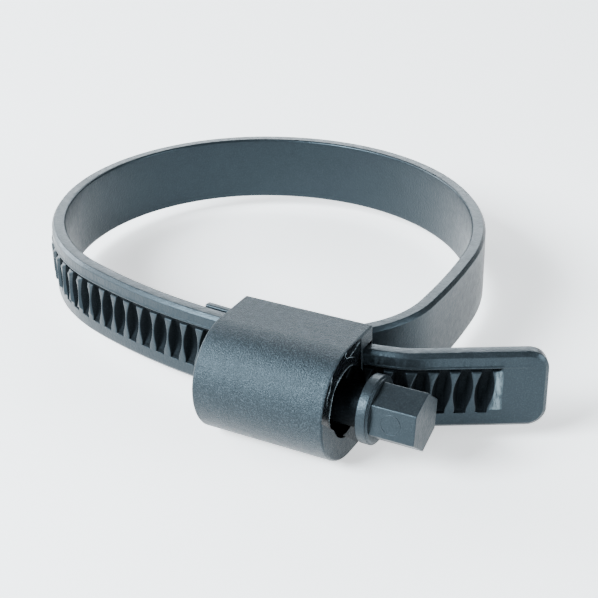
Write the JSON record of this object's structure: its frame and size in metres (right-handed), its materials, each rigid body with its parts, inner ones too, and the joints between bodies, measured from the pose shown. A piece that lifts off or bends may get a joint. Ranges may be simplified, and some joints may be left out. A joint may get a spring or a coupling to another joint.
{
  "type": "hose clamp",
  "caption": "Plastic worm-drive hose clamp: a toothed strap runs through a moulded barrel, and a hex-head worm draws it tight round a hose.",
  "frame": {"origin": "centre of the round stretch of the loop that a hose lies against, at mid band width", "axes": "+Z along the hose, +X parallel to the worm towards its hex head, the worm housing at -Y"},
  "size_m": [0.1028, 0.0894, 0.0182],
  "materials": {
    "strap_plastic": "satin moulded acetal, dark blue-grey",
    "housing_plastic": "fine spark-eroded grain, dark blue-grey",
    "worm_plastic": "satin moulded acetal, dark blue-grey"
  },
  "bodies": {
    "housing": {"worm_housing": "housing_plastic", "bridge_tongue": "strap_plastic", "band_loop": "strap_plastic"},
    "strap": {"toothed_strap": "strap_plastic", "tail_pad": "strap_plastic"},
    "worm": {"worm_screw": "worm_plastic"}
  },
  "joints": [
    {"name": "worm_turn", "type": "hinge", "parent": "housing", "child": "worm", "pos_m": [0.03, -0.04363, 0], "axis": [-1, 0, 0], "range_deg": [-360, 3240]},
    {"name": "strap_draw", "type": "hinge", "parent": "housing", "child": "strap", "pos_m": [0.02397, 0.07022, 0], "axis": [0, 0, 1], "range_deg": [-1.67, 14.99], "deforming": ["band_loop"]}
  ],
  "couplings": [
    {"joint": "strap_draw", "follows": "worm_turn", "ratio": 0.0046264}
  ]
}
